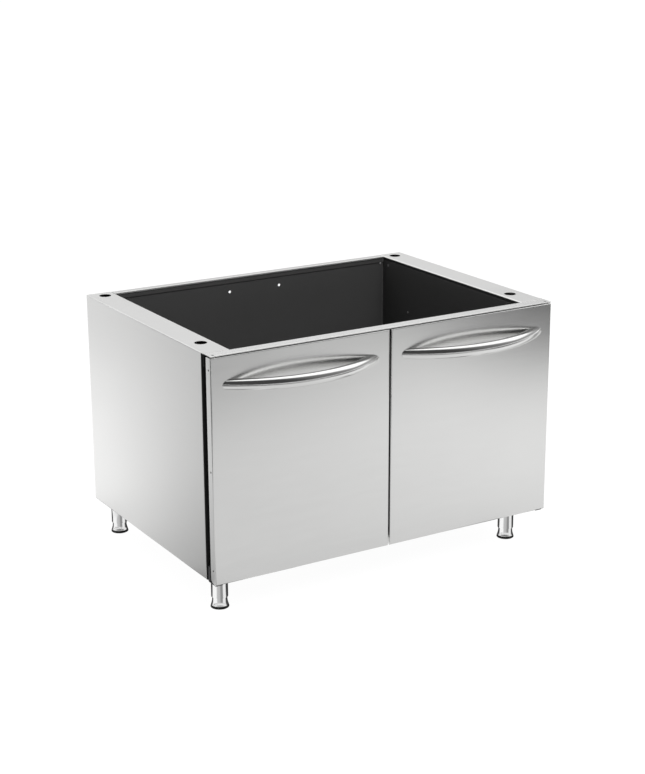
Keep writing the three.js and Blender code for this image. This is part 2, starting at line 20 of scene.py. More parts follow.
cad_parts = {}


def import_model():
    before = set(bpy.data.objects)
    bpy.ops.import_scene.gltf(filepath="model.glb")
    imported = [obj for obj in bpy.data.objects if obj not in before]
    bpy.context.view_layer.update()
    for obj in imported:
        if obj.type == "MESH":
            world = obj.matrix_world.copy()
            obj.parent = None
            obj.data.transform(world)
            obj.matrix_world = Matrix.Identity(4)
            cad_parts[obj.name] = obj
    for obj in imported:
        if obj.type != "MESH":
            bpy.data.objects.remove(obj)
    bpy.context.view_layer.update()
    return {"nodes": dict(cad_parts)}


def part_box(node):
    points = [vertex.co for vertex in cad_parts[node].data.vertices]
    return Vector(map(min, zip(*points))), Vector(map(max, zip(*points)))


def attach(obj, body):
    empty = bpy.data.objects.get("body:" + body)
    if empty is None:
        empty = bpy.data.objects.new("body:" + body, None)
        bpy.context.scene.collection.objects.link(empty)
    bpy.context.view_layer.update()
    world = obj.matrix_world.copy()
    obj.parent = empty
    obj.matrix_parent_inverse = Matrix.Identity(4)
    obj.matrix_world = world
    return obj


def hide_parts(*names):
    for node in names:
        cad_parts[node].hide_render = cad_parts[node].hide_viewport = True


log = logging.getLogger("base_cabinet")

Triple = tuple[float, float, float]

MM = 0.001
BODY_FACETS = 64
BODY_CREASE_DEGREES = 35.0
FILLET_CHORDS = 5
HANDS = ("left", "right")
ENDS = ("front", "rear")


class Grain(Enum):
    """The axis along which a piece was brushed."""

    ALONG_X = 0
    ALONG_Y = 1
    ALONG_Z = 2


class Value:
    """A socket of a node tree that takes part in sums as a number does."""

    def __init__(self, sheet: NodeSheet, socket: bpy.types.NodeSocket) -> None:
        """Keep the socket and the sheet that it is on."""
        self.sheet = sheet
        self.socket = socket

    def _math(self, operation: str, *terms: Value | float) -> Value:
        """Add a Math node that works on the terms."""
        return self.sheet.add("ShaderNodeMath", {"operation": operation}, dict(enumerate(terms)))

    def __add__(self, other: Value | float) -> Value:
        """Add a value or a number."""
        return self._math("ADD", self, other)

    __radd__ = __add__

    def __sub__(self, other: Value | float) -> Value:
        """Take a value or a number away."""
        return self._math("SUBTRACT", self, other)

    def __rsub__(self, other: Value | float) -> Value:
        """Take this value away from a number."""
        return self._math("SUBTRACT", other, self)

    def __mul__(self, other: Value | float) -> Value:
        """Multiply by a value or a number."""
        return self._math("MULTIPLY", self, other)

    __rmul__ = __mul__

    def __truediv__(self, other: Value | float) -> Value:
        """Divide by a value or a number."""
        return self._math("DIVIDE", self, other)

    def __pow__(self, other: Value | float) -> Value:
        """Raise to a power."""
        return self._math("POWER", self, other)

    def at_least(self, other: Value | float) -> Value:
        """The larger of the two."""
        return self._math("MAXIMUM", self, other)

    def size(self) -> Value:
        """The value without its sign."""
        return self._math("ABSOLUTE", self)

    def heading(self, across: Value) -> Value:
        """The angle, in radians, of a line that runs this far ahead and that far across."""
        return self._math("ARCTAN2", across, self)

    def towards(self, other: Value | float, share: Value | float) -> Value:
        """A value on the way from this one to another."""
        return self + (other - self) * share

    def between(self, low: float, high: float) -> Value:
        """0 below low, 1 above high, and a smooth rise between them."""
        return self.sheet.add(
            "ShaderNodeMapRange",
            {"interpolation_type": "SMOOTHSTEP"},
            {"Value": self, "From Min": low, "From Max": high},
        )


class NodeSheet:
    """A node tree that is written as expressions."""

    def __init__(self, tree: bpy.types.NodeTree) -> None:
        """Start on an empty tree.

        Args:
            tree: The tree to fill. What is in it is removed.
        """
        self.tree = tree
        tree.nodes.clear()

    def node(
        self,
        kind: str,
        settings: Mapping[str, Any] | None = None,
        inputs: Mapping[int | str, Any] | None = None,
    ) -> bpy.types.Node:
        """Add a node.

        Args:
            kind: The node's type.
            settings: Its own properties, and a ramp's stops, set before its sockets.
            inputs: A value or a linked Value for each named or numbered socket. A list of Values
                goes into a socket that takes several.

        Returns:
            The new node.
        """
        node = self.tree.nodes.new(kind)
        for name, setting in (settings or {}).items():
            if name == "stops":
                self._set_stops(node.color_ramp, setting)
            else:
                setattr(node, name, setting)
        for key, value in (inputs or {}).items():
            for item in value if isinstance(value, list) else [value]:
                if isinstance(item, Value):
                    self.tree.links.new(item.socket, node.inputs[key])
                else:
                    node.inputs[key].default_value = item
        return node

    def add(
        self,
        kind: str,
        settings: Mapping[str, Any] | None = None,
        inputs: Mapping[int | str, Any] | None = None,
        output: int | str = 0,
    ) -> Value:
        """Add a node and take one of its outputs."""
        return Value(self, self.node(kind, settings, inputs).outputs[output])

    @staticmethod
    def _set_stops(ramp: bpy.types.ColorRamp, stops: Sequence[tuple[float, float]]) -> None:
        """Give a colour ramp its stops, each a position and a grey."""
        while len(ramp.elements) < len(stops):
            ramp.elements.new(1.0)
        for element, (position, level) in zip(ramp.elements, stops, strict=True):
            element.position = position
            element.color = (*grey(level), 1.0)

    def axes(self, vector: Value) -> tuple[Value, Value, Value]:
        """The three parts of a vector."""
        split = self.node("ShaderNodeSeparateXYZ", {}, {0: vector})
        return tuple(Value(self, output) for output in split.outputs)

    def mixed(self, factor: Value, first: Sequence[float], second: Sequence[float]) -> Value:
        """A colour between two colours."""
        return self.add(
            "ShaderNodeMix",
            {"data_type": "RGBA"},
            {0: factor, 6: (*first, 1.0), 7: (*second, 1.0)},
            output=2,
        )

    def matt(self, level: float) -> Value:
        """A matt grey surface."""
        return self.add("ShaderNodeBsdfDiffuse", {}, {"Color": (*grey(level), 1.0)})

    def glow(self, kind: str, strength: Value | float) -> Value:
        """A white light of that strength, from a surface or the world."""
        return self.add(kind, {}, {"Color": (*grey(1.0), 1.0), "Strength": strength})

    def ray(self, kind: str) -> Value:
        """1 for a ray of that kind, and 0 for others."""
        return self.add("ShaderNodeLightPath", output=kind)


def grey(level: float) -> Triple:
    """A neutral colour."""
    return (level, level, level)


def shaded(colour: Sequence[float], factor: float) -> list[float]:
    """A colour made darker or lighter."""
    return [part * factor for part in colour]


@dataclass(frozen=True)
class Finish:
    """What all finishes share: a name, a slot's name, a colour and a gloss."""

    name: str
    slot: str
    colour: Triple
    roughness: float
    metallic: float = 0.0
    relief: float = 0.0
    relief_depth: float = 0.0

    def material(self) -> bpy.types.Material:
        """The finish as a material, made once.

        Returns:
            The material of this finish's name.
        """
        known = bpy.data.materials.get(self.name)
        if known:
            return known
        material = bpy.data.materials.new(self.name)
        material.use_nodes = True
        sheet = NodeSheet(material.node_tree)
        place = sheet.add("ShaderNodeTexCoord", output="Object")
        sockets = {"Metallic": self.metallic, **self.surface(sheet, place)}
        surface = sheet.add("ShaderNodeBsdfPrincipled", {}, sockets)
        sheet.node("ShaderNodeOutputMaterial", {}, {"Surface": surface})
        return material

    def surface(self, sheet: NodeSheet, place: Value) -> dict[str, Any]:
        """The values and links of the surface shader's sockets."""
        raise NotImplementedError

    def noise(
        self, sheet: NodeSheet, place: Value, per_metre: Sequence[float], detail: float
    ) -> Value:
        """Noise from 0 to 1 with its own scale along each axis.

        Args:
            sheet: The tree to add to.
            place: The coordinates to read.
            per_metre: How many features it has to a metre along X, Y and Z.
            detail: How many finer layers it has.

        Returns:
            The noise's value.
        """
        scale = tuple(per_metre)
        stretched = sheet.add("ShaderNodeMapping", {}, {"Vector": place, "Scale": scale})
        return sheet.add(
            "ShaderNodeTexNoise", {}, {"Vector": stretched, "Scale": 1.0, "Detail": detail}, "Fac"
        )

    def bumped(self, sheet: NodeSheet, height: Value) -> Value:
        """A normal that follows a height."""
        relief = {"Height": height, "Distance": self.relief_depth, "Strength": self.relief}
        return sheet.add("ShaderNodeBump", {}, relief)


@dataclass(frozen=True)
class BrushedSteel(Finish):
    """Stainless sheet, brushed along one axis, with faint clouds where it was handled.

    Its roughness spreads about the given one, clear of 0.274, where the denoiser leaves dashes.
    """

    metallic: float = 1.0
    grain: Grain = Grain.ALONG_X
    line_pitch: float = 0.7 * MM
    line_length: float = 160 * MM
    cloud: float = 90 * MM
    streaks_per_cloud: float = 6.0
    relief: float = 0.06
    relief_depth: float = 0.02 * MM
    spread: float = 0.06
    middle_haze: float = 0.05

    def surface(self, sheet: NodeSheet, place: Value) -> dict[str, Any]:
        """Fine lines along the grain over wide, faint clouds."""
        lines = [1 / self.line_pitch] * 3
        lines[self.grain.value] = 1 / self.line_length
        streaks = [self.streaks_per_cloud / self.cloud] * 3
        streaks[self.grain.value] = 1 / self.cloud
        fine = self.noise(sheet, place, lines, 2.0)
        streak = self.noise(sheet, place, streaks, 3.0)
        cloud = self.noise(sheet, place, [1 / self.cloud] * 3, 2.0)
        light = fine * 0.35 + streak * 0.4 + cloud * 0.25
        haze = fine * 0.04 + streak * 0.03 + cloud * 0.03
        darker = shaded(self.colour, 1 - self.spread)
        lighter = shaded(self.colour, 1 + self.spread)
        return {
            "Base Color": sheet.mixed(light, darker, lighter),
            "Roughness": self.roughness - self.middle_haze + haze,
            "Normal": self.bumped(sheet, fine),
        }


@dataclass(frozen=True)
class PolishedSteel(Finish):
    """Bright turned steel, with faint rings left by the tool."""

    metallic: float = 1.0
    ring_pitch: float = 0.4 * MM
    rings_across: float = 30.0
    haze_scale: float = 60.0
    relief: float = 0.1
    relief_depth: float = 0.01 * MM

    def surface(self, sheet: NodeSheet, place: Value) -> dict[str, Any]:
        """Rings that repeat up the piece, and a little haze."""
        across = self.rings_across
        rings = self.noise(sheet, place, [across, across, 1 / self.ring_pitch], 1.0)
        haze = self.noise(sheet, place, [self.haze_scale] * 3, 3.0)
        return {
            "Base Color": sheet.mixed(haze, shaded(self.colour, 0.95), self.colour),
            "Roughness": self.roughness + haze * 0.05 + rings * 0.03,
            "Normal": self.bumped(sheet, rings),
        }


@dataclass(frozen=True)
class PlatedSteel(Finish):
    """Zinc-plated steel, with the soft crystals of the plating."""

    metallic: float = 1.0
    crystal: float = 6 * MM
    grit_scale: float = 1500.0
    relief: float = 0.2
    relief_depth: float = 0.02 * MM

    def surface(self, sheet: NodeSheet, place: Value) -> dict[str, Any]:
        """Cells of slightly different brightness, with fine grit."""
        scale = 1 / self.crystal
        cells = sheet.add("ShaderNodeTexVoronoi", {}, {"Vector": place, "Scale": scale}, "Distance")
        grit = self.noise(sheet, place, [self.grit_scale] * 3, 2.0)
        return {
            "Base Color": sheet.mixed(cells, self.colour, shaded(self.colour, 0.8)),
            "Roughness": self.roughness + cells * 0.08 + grit * 0.05,
            "Normal": self.bumped(sheet, grit),
        }


@dataclass(frozen=True)
class Coating(Finish):
    """A paint, rubber or moulded plastic with a fine skin, which may be paler at its ends as a
    painted highlight.
    """

    skin: float = 0.9 * MM
    gloss_scale: float = 8.0
    middle_gloss: float = 0.04
    relief: float = 0.35
    relief_depth: float = 0.03 * MM
    # Past this distance along X the coat is lighter: a painted highlight on end edges.
    highlight_from: float = 10.0

    def surface(self, sheet: NodeSheet, place: Value) -> dict[str, Any]:
        """A fine skin under wide, faint changes of gloss."""
        skin = self.noise(sheet, place, [1 / self.skin] * 3, 2.0)
        wide = self.noise(sheet, place, [self.gloss_scale] * 3, 3.0)
        across, _, _ = sheet.axes(place)
        # Lighter beyond the given distance along X: a painted highlight on the rear panel's end
        # edges.
        painted_highlight = across.size().between(self.highlight_from - MM / 2, self.highlight_from + MM / 2)
        light = wide * 0.3 + skin * 0.2 + painted_highlight * 0.5
        return {
            "Base Color": sheet.mixed(light, shaded(self.colour, 0.85), shaded(self.colour, 1.45)),
            "Roughness": self.roughness - self.middle_gloss + wide * 0.08,
            "Normal": self.bumped(sheet, skin),
        }


STEEL = "brushed_steel"
PLATE = "plated_steel"
COAT = "dark_coating"
STEEL_COLOUR = (0.8, 0.8, 0.793)
DOOR_STEEL = BrushedSteel("door_steel", STEEL, STEEL_COLOUR, 0.19)
# The door returns' steel is lighter than the doors': painted light on the returns.
LIT_RETURN_STEEL = BrushedSteel("lit_return_steel", STEEL, (0.88, 0.88, 0.873), 0.2, grain=Grain.ALONG_Z)
SIDE_STEEL = BrushedSteel(
    "side_steel", STEEL, STEEL_COLOUR, 0.31, grain=Grain.ALONG_Y, relief=0.02, spread=0.03
)
# The front rail's steel is lighter than the doors': painted light on the rail.
LIT_RAIL_STEEL = BrushedSteel("lit_rail_steel", STEEL, (0.9, 0.9, 0.893), 0.245, grain=Grain.ALONG_Y)
# The rear rail's steel is darker than the doors': painted shade.
SHADED_REAR_RAIL_STEEL = BrushedSteel("shaded_rear_rail_steel", STEEL, (0.7, 0.7, 0.694), 0.31)
HANDLE_STEEL = BrushedSteel("handle_steel", STEEL, STEEL_COLOUR, 0.15, line_length=60 * MM)
FOOT_STEEL = PolishedSteel("foot_steel", "polished_steel", grey(0.95), 0.07)
ZINC = PlatedSteel("zinc_plate", PLATE, (0.6, 0.61, 0.63), 0.34)
# Zinc darkened for the lower hinge brackets: painted shade on the brackets in the door gap.
SHADED_ZINC = PlatedSteel("shaded_zinc", PLATE, (0.16, 0.16, 0.165), 0.45)
# Plated steel darkened: for the upper pins it is painted shade, the dark of the holes they sit in;
# the door rivets share it.
SPOT_STEEL = PlatedSteel("spot_steel", PLATE, grey(0.14), 0.45, crystal=2 * MM)
# Dark coats inside the cabinet: painted shade for its dark inside. The rear's is lighter than the
# walls' where it is more lit, and paler at its ends as a painted highlight on its end edges.
REAR_SHADE_COAT = Coating("rear_shade_coat", COAT, grey(0.065), 0.5, highlight_from=339.6 * MM)
SCREW_COAT = Coating("screw_coat", COAT, grey(0.14), 0.5)
TAB_COAT = Coating("tab_coat", COAT, grey(0.3), 0.5)
# The walls' and floor's coat: painted shade, darker than the rear's.
WALL_SHADE_COAT = Coating("wall_shade_coat", COAT, grey(0.037), 0.5)
# Near-black coat on faces in the gap behind the doors and inside the cabinet: painted shade.
GAP_SHADE_COAT = Coating("gap_shade_coat", COAT, grey(0.006), 0.6)
RUBBER = Coating("rubber", "rubber", grey(0.012), 0.6, skin=0.5 * MM)
NYLON = Coating("nylon", "nylon", (0.78, 0.76, 0.7), 0.45)
MAGNET_CASE = Coating("magnet_case", "magnet_housing", grey(0.02), 0.5)


def placed(name: str, mesh: bpy.types.Mesh, finish: Finish | None) -> bpy.types.Object:
    """A mesh as an object at the origin.

    Args:
        name: The piece's name.
        mesh: Its mesh, with its place in its vertices.
        finish: What it is dressed in, or None where its maker has set that.

    Returns:
        The new object.
    """
    piece = bpy.data.objects.new(name, mesh)
    bpy.context.scene.collection.objects.link(piece)
    if finish:
        mesh.materials.clear()
        mesh.materials.append(finish.material())
    return piece


def applied(piece: bpy.types.Object) -> bpy.types.Mesh:
    """Work a piece's modifiers into its mesh and remove them."""
    bpy.context.view_layer.update()
    graph = bpy.context.evaluated_depsgraph_get()
    mesh = bpy.data.meshes.new_from_object(piece.evaluated_get(graph))
    piece.modifiers.clear()
    piece.data = mesh
    return mesh


def settled(piece: bpy.types.Object, crease_degrees: float) -> bpy.types.Object:
    """Turn a piece's modifiers into plain mesh, smooth but for its creases.

    Args:
        piece: The piece, whose modifiers are removed.
        crease_degrees: The angle past which an edge stays sharp.

    Returns:
        The same piece.
    """
    mesh = applied(piece)
    mesh.shade_smooth()
    mesh.set_sharp_from_angle(angle=math.radians(crease_degrees))
    return piece


def flatten(piece: bpy.types.Object) -> None:
    """Keep a piece's wide faces flat where they meet its folds."""
    modifier = piece.modifiers.new("wide_faces", "WEIGHTED_NORMAL")
    modifier.keep_sharp = True
    modifier.weight = 100
    applied(piece)


@dataclass
class Fittings:
    """The cabinet's cut, folded and turned pieces, as refined copies of the frame's nodes."""

    nodes: Mapping[str, bpy.types.Object]
    edge_round: float = 0.25 * MM
    wall_round: float = 0.45 * MM
    edge_segments: int = 2
    crease_degrees: float = 40.0
    bevel_degrees: float = 60.0
    flat_degrees: float = 0.5
    weld_distance: float = 0.002 * MM
    # Where the near-black painted shade goes on the side walls and the front rail.
    shade_inset: float = 4 * MM
    shade_rear: float = 29 * MM
    shade_drop: float = 2.5 * MM
    facing: float = 0.5
    facing_squarely: float = 0.9

    def refine(
        self, node: str, body: str, finish: Finish, edge_round: float | None = None
    ) -> bpy.types.Object:
        """Copy a node, round its cut edges and smooth its folds.

        Args:
            node: The frame's node that the copy stands for.
            body: The body that it rides on.
            finish: What it is dressed in.
            edge_round: The width of its rounded edges, where it isn't that of all pieces.

        Returns:
            The finished piece.
        """
        source = self.nodes[node].data
        mesh = bpy.data.meshes.new(f"{node}_refined")
        mesh.from_pydata(
            [vertex.co for vertex in source.vertices],
            [],
            [list(polygon.vertices) for polygon in source.polygons],
        )
        shape = bmesh.new()
        shape.from_mesh(mesh)
        bmesh.ops.remove_doubles(shape, verts=shape.verts, dist=self.weld_distance)
        flat = math.radians(self.flat_degrees)
        bmesh.ops.dissolve_limit(shape, angle_limit=flat, verts=shape.verts, edges=shape.edges)
        shape.to_mesh(mesh)
        shape.free()
        piece = placed(f"{node}_refined", mesh, finish)
        edge = piece.modifiers.new("cut_edges", "BEVEL")
        edge.width = edge_round or self.edge_round
        edge.segments = self.edge_segments
        edge.limit_method = "ANGLE"
        edge.angle_limit = math.radians(self.bevel_degrees)
        edge.use_clamp_overlap = True
        flatten(settled(piece, self.crease_degrees))
        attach(piece, body)
        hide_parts(node)
        return piece

    def line(self, piece: bpy.types.Object, node: str) -> bpy.types.Object:
        """Paint shade as a near-black coat on faces that look into the door gap and the cabinet.

        Args:
            piece: The refined piece.
            node: The frame's node that it stands for.

        Returns:
            The same piece.
        """
        low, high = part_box(node)
        inside = min(abs(low.x), abs(high.x)) + self.shade_inset
        rear = low.y + self.shade_rear
        is_rail = low.x * high.x < 0
        piece.data.materials.append(GAP_SHADE_COAT.material())
        for face in piece.data.polygons:
            middle, normal = face.center, face.normal
            sideways = abs(normal.x) > self.facing
            ahead = normal.y < -self.facing and low.y + MM < middle.y < rear
            inward = sideways and normal.x * middle.x < 0 and abs(middle.x) < inside
            rail_end = sideways and is_rail and middle.y < rear
            if middle.z < high.z - self.shade_drop and (ahead or inward or rail_end):
                face.material_index = 1
        return piece

    def turn_grain_and_brighten(self, pan: bpy.types.Object) -> None:
        """Give a door pan's upright returns a grain that runs up them, and a lighter steel colour as
        painted light.
        """
        pan.data.materials.append(LIT_RETURN_STEEL.material())
        for face in pan.data.polygons:
            if abs(face.normal.x) > self.facing_squarely:
                face.material_index = 1

    def build(self) -> list[bpy.types.Object]:
        """Refine the carcass's and the doors' plain pieces.

        Returns:
            The finished pieces.
        """
        made = [
            self.line(self.refine("front_top_rail", "carcass", LIT_RAIL_STEEL), "front_top_rail"),
            self.refine("rear_top_rail", "carcass", SHADED_REAR_RAIL_STEEL),
            self.refine("rear_panel", "carcass", REAR_SHADE_COAT),
            self.refine("floor_panel", "carcass", WALL_SHADE_COAT),
        ]
        fixed = {
            "inner_liner": WALL_SHADE_COAT,
            "base_runner": ZINC,
            "lower_hinge_bracket": SHADED_ZINC,
            "magnet_catch": MAGNET_CASE,
            "upper_pivot_pin": SPOT_STEEL,
            "lower_pivot_pin": ZINC,
        }
        moving = {
            "handle_outer_plug": ZINC,
            "handle_inner_plug": ZINC,
            "handle_outer_screw": ZINC,
            "handle_inner_screw": ZINC,
            "upper_pivot_bush": NYLON,
            "lower_pivot_bush": NYLON,
            "strike_plate": ZINC,
        }
        for hand in HANDS:
            panel = f"{hand}_side_panel"
            wall = self.refine(panel, "carcass", SIDE_STEEL, self.wall_round)
            made.append(self.line(wall, panel))
            door = f"{hand}_door"
            made += [self.refine(f"{hand}_{node}", "carcass", fin) for node, fin in fixed.items()]
            made += [self.refine(f"{hand}_{node}", door, fin) for node, fin in moving.items()]
            for layer in ("outer", "inner"):
                pan = self.refine(f"{door}_{layer}_pan", door, DOOR_STEEL)
                self.turn_grain_and_brighten(pan)
                made.append(pan)
            made += [self.refine(f"{end}_{hand}_foot_nut", "carcass", ZINC) for end in ENDS]
        return made


class MakerTree:
    """A geometry tree with named inputs, which a piece's modifier sets."""

    def __init__(self, name: str, sizes: Mapping[str, float | int | Vector]) -> None:
        """Make the tree and its inputs.

        Args:
            name: The tree's name.
            sizes: Each input's name and value, whose kind is read from the value.
        """
        kinds = {float: "NodeSocketFloat", int: "NodeSocketInt", Vector: "NodeSocketVector"}
        self.sizes = sizes
        self.tree = bpy.data.node_groups.new(name, "GeometryNodeTree")
        self.sheet = NodeSheet(self.tree)
        face = self.tree.interface
        self.sockets = {
            size: face.new_socket(name=size, in_out="INPUT", socket_type=kinds[type(value)])
            for size, value in sizes.items()
        }
        face.new_socket(name="Mesh", in_out="OUTPUT", socket_type="NodeSocketGeometry")
        self.entry = self.tree.nodes.new("NodeGroupInput")

    def __getitem__(self, size: str) -> Value:
        """The input of that name."""
        return Value(self.sheet, self.entry.outputs[size])

    def vector(self, parts: Mapping[int, Value]) -> Value:
        """A vector from some of its parts. The others are 0."""
        return self.sheet.add("ShaderNodeCombineXYZ", {}, parts)

    def moved(self, mesh: Value, place: Value) -> Value:
        """A geometry moved to a place."""
        move = {"Geometry": mesh, "Translation": place}
        return self.sheet.add("GeometryNodeTransform", {}, move)

    def made(
        self, name: str, mesh: Value, finish: Finish, crease_degrees: float
    ) -> bpy.types.Object:
        """End the tree, run it once and keep the result as plain mesh.

        Args:
            name: The piece's name.
            mesh: The tree's last geometry.
            finish: What the piece is dressed in.
            crease_degrees: The angle past which an edge stays sharp.

        Returns:
            The finished piece.
        """
        real = self.sheet.add("GeometryNodeRealizeInstances", {}, {0: mesh})
        dressed = self.sheet.add(
            "GeometryNodeSetMaterial", {}, {"Geometry": real, "Material": finish.material()}
        )
        self.sheet.node("NodeGroupOutput", {}, {0: dressed})
        piece = placed(name, bpy.data.meshes.new(name), None)
        modifier = piece.modifiers.new("maker", "NODES")
        modifier.node_group = self.tree
        for size, value in self.sizes.items():
            modifier[self.sockets[size].identifier] = value
        return settled(piece, crease_degrees)


@dataclass
class Handle:
    """A bowed tube, widest in its middle, whose ends are cut off at the door's face."""

    hand: str
    chord: float = 310 * MM
    middle_radius: float = 12.4 * MM
    end_radius: float = 11.2 * MM
    wall: float = 1.5 * MM
    run_out: float = 26 * MM
    bore_share: float = 1.05
    steps: int = 96
    facets: int = 48
    crease_degrees: float = 50.0

    def build(self) -> bpy.types.Object:
        """Sweep the tube along its arc and cut it at the door.

        Returns:
            The finished handle.
        """
        low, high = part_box(f"{self.hand}_handle")
        face = high.y
        bow = face - low.y - self.middle_radius
        arc_radius = (self.chord**2 / 4 + bow**2) / (2 * bow)
        half_angle = math.asin(self.chord / 2 / arc_radius) + self.run_out / arc_radius
        centre = Vector(((low.x + high.x) / 2, face - bow + arc_radius, (low.z + high.z) / 2))
        maker = MakerTree(
            f"{self.hand}_handle_maker",
            {
                "Arc radius": arc_radius,
                "Half angle": half_angle,
                "Middle radius": self.middle_radius,
                "End share": self.end_radius / self.middle_radius,
                "Wall": self.wall,
                "Steps": self.steps,
                "Facets": self.facets,
                "Centre": centre,
                "Door": Vector((centre.x, face, centre.z)),
                "Reach": self.chord,
            },
        )
        skin = self._swept(maker, maker["Middle radius"], 1.0)
        bore = self._swept(maker, maker["Middle radius"] - maker["Wall"], self.bore_share)
        tube = maker.sheet.add(
            "GeometryNodeMeshBoolean",
            {"operation": "DIFFERENCE", "solver": "EXACT"},
            {"Mesh 1": skin, "Mesh 2": [bore, self._door_block(maker)]},
        )
        piece = maker.made(f"{self.hand}_handle_tube", tube, HANDLE_STEEL, self.crease_degrees)
        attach(piece, f"{self.hand}_door")
        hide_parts(f"{self.hand}_handle")
        return piece

    @staticmethod
    def _door_block(maker: MakerTree) -> Value:
        """A block behind the door's face, which cuts the tube's ends off there."""
        reach = maker["Reach"]
        cube = maker.vector({axis: reach * 2 for axis in range(3)})
        block = maker.sheet.add("GeometryNodeMeshCube", {}, {"Size": cube})
        behind = maker.sheet.add(
            "ShaderNodeVectorMath",
            {"operation": "ADD"},
            {0: maker["Door"], 1: maker.vector({1: reach})},
        )
        return maker.moved(block, behind)

    @staticmethod
    def _swept(maker: MakerTree, radius: Value, longer: float) -> Value:
        """A round bar along the arc, that narrows from its middle to its ends."""
        sheet = maker.sheet
        half = maker["Half angle"] * longer
        arc = sheet.add(
            "GeometryNodeCurveArc",
            {"mode": "RADIUS"},
            {
                "Resolution": maker["Steps"],
                "Radius": maker["Arc radius"],
                "Start Angle": -math.pi / 2 - half,
                "Sweep Angle": half * 2,
            },
        )
        along = sheet.add("GeometryNodeSplineParameter", output="Factor") * 2 - 1
        share = 1 - (1 - maker["End share"]) * along**2
        line = sheet.add("GeometryNodeSetCurveRadius", {}, {"Curve": arc, "Radius": share})
        ring = sheet.add(
            "GeometryNodeCurvePrimitiveCircle",
            {"mode": "RADIUS"},
            {"Resolution": maker["Facets"], "Radius": radius},
        )
        bar = sheet.add(
            "GeometryNodeCurveToMesh",
            {},
            {"Curve": line, "Profile Curve": ring, "Scale": share, "Fill Caps": True},
        )
        return maker.moved(bar, maker["Centre"])


@dataclass
class Spots:
    """A row of flush fasteners along a line, each a low dome that faces one way."""

    name: str
    body: str
    start: Vector
    facing: Vector
    finish: Finish
    radius: float = 2.1 * MM
    rise: float = 0.35 * MM
    step: Vector | None = None
    count: int = 1
    segments: int = 24
    rings: int = 10
    crease_degrees: float = 60.0

    def build(self) -> bpy.types.Object:
        """Set the domes along their line.

        Returns:
            The finished row.
        """
        turn = Vector((0.0, 0.0, 1.0)).rotation_difference(self.facing).to_euler()
        maker = MakerTree(
            f"{self.name}_maker",
            {
                "Start": self.start,
                "Step": self.step or Vector(),
                "Count": self.count,
                "Size": Vector((self.radius, self.radius, self.rise)),
                "Turn": Vector(turn),
            },
        )
        sheet = maker.sheet
        line = sheet.add(
            "GeometryNodeMeshLine",
            {"mode": "OFFSET"},
            {"Count": maker["Count"], "Start Location": maker["Start"], "Offset": maker["Step"]},
        )
        ball = {"Segments": self.segments, "Rings": self.rings, "Radius": 1.0}
        dome = sheet.add("GeometryNodeMeshUVSphere", {}, ball)
        row = sheet.add(
            "GeometryNodeInstanceOnPoints",
            {},
            {
                "Points": line,
                "Instance": dome,
                "Scale": maker["Size"],
                "Rotation": sheet.add("FunctionNodeEulerToRotation", {}, {0: maker["Turn"]}),
            },
        )
        piece = maker.made(self.name, row, self.finish, self.crease_degrees)
        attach(piece, self.body)
        return piece


def filleted(points: Sequence[tuple[float, float]], radii: Mapping[int, float]) -> list[Vector]:
    """Round some corners of an open outline.

    Args:
        points: The outline's corners.
        radii: The fillet's radius at each corner that has one.

    Returns:
        The outline with its fillets as short chords.
    """
    line: list[Vector] = []
    for index, point in enumerate(points):
        corner = Vector(point)
        radius = radii.get(index)
        if not radius:
            line.append(corner)
            continue
        back = (Vector(points[index - 1]) - corner).normalized()
        ahead = (Vector(points[index + 1]) - corner).normalized()
        half = math.acos(max(-1.0, min(1.0, back.dot(ahead)))) / 2
        reach = radius / math.tan(half)
        centre = corner + (back + ahead).normalized() * (radius / math.sin(half))
        first = corner + back * reach - centre
        last = corner + ahead * reach - centre
        swing = first.angle_signed(last)
        for step in range(FILLET_CHORDS + 1):
            spoke = first.copy()
            spoke.rotate(Matrix.Rotation(-swing * step / FILLET_CHORDS, 2))
            line.append(centre + spoke)
    return line


def turned(
    name: str, profile: Sequence[Vector], centre: Vector, finish: Finish
) -> bpy.types.Object:
    """A body turned about a vertical axis.

    Args:
        name: The piece's name.
        profile: Its outline as radius and height, from the axis at the foot to the axis at the top,
            outside first.
        centre: A point on its axis.
        finish: What it is dressed in.

    Returns:
        The finished piece.
    """
    shape = bmesh.new()
    rings: list[list[bmesh.types.BMVert]] = []
    for radius, height in profile:
        count = BODY_FACETS if radius > 0 else 1
        ring = []
        for index in range(count):
            angle = 2 * math.pi * index / BODY_FACETS
            spoke = Vector((math.cos(angle), math.sin(angle), 0.0)) * radius
            ring.append(shape.verts.new((centre.x + spoke.x, centre.y + spoke.y, height)))
        rings.append(ring)
    for lower, upper in zip(rings, rings[1:], strict=False):
        for index in range(BODY_FACETS):
            after = (index + 1) % BODY_FACETS
            corners = [
                lower[index % len(lower)],
                lower[after % len(lower)],
                upper[after % len(upper)],
                upper[index % len(upper)],
            ]
            face = list(dict.fromkeys(corners))
            if len(face) > 2:
                shape.faces.new(face)
    bmesh.ops.recalc_face_normals(shape, faces=shape.faces)
    mesh = bpy.data.meshes.new(name)
    shape.to_mesh(mesh)
    shape.free()
    return settled(placed(name, mesh, finish), BODY_CREASE_DEGREES)


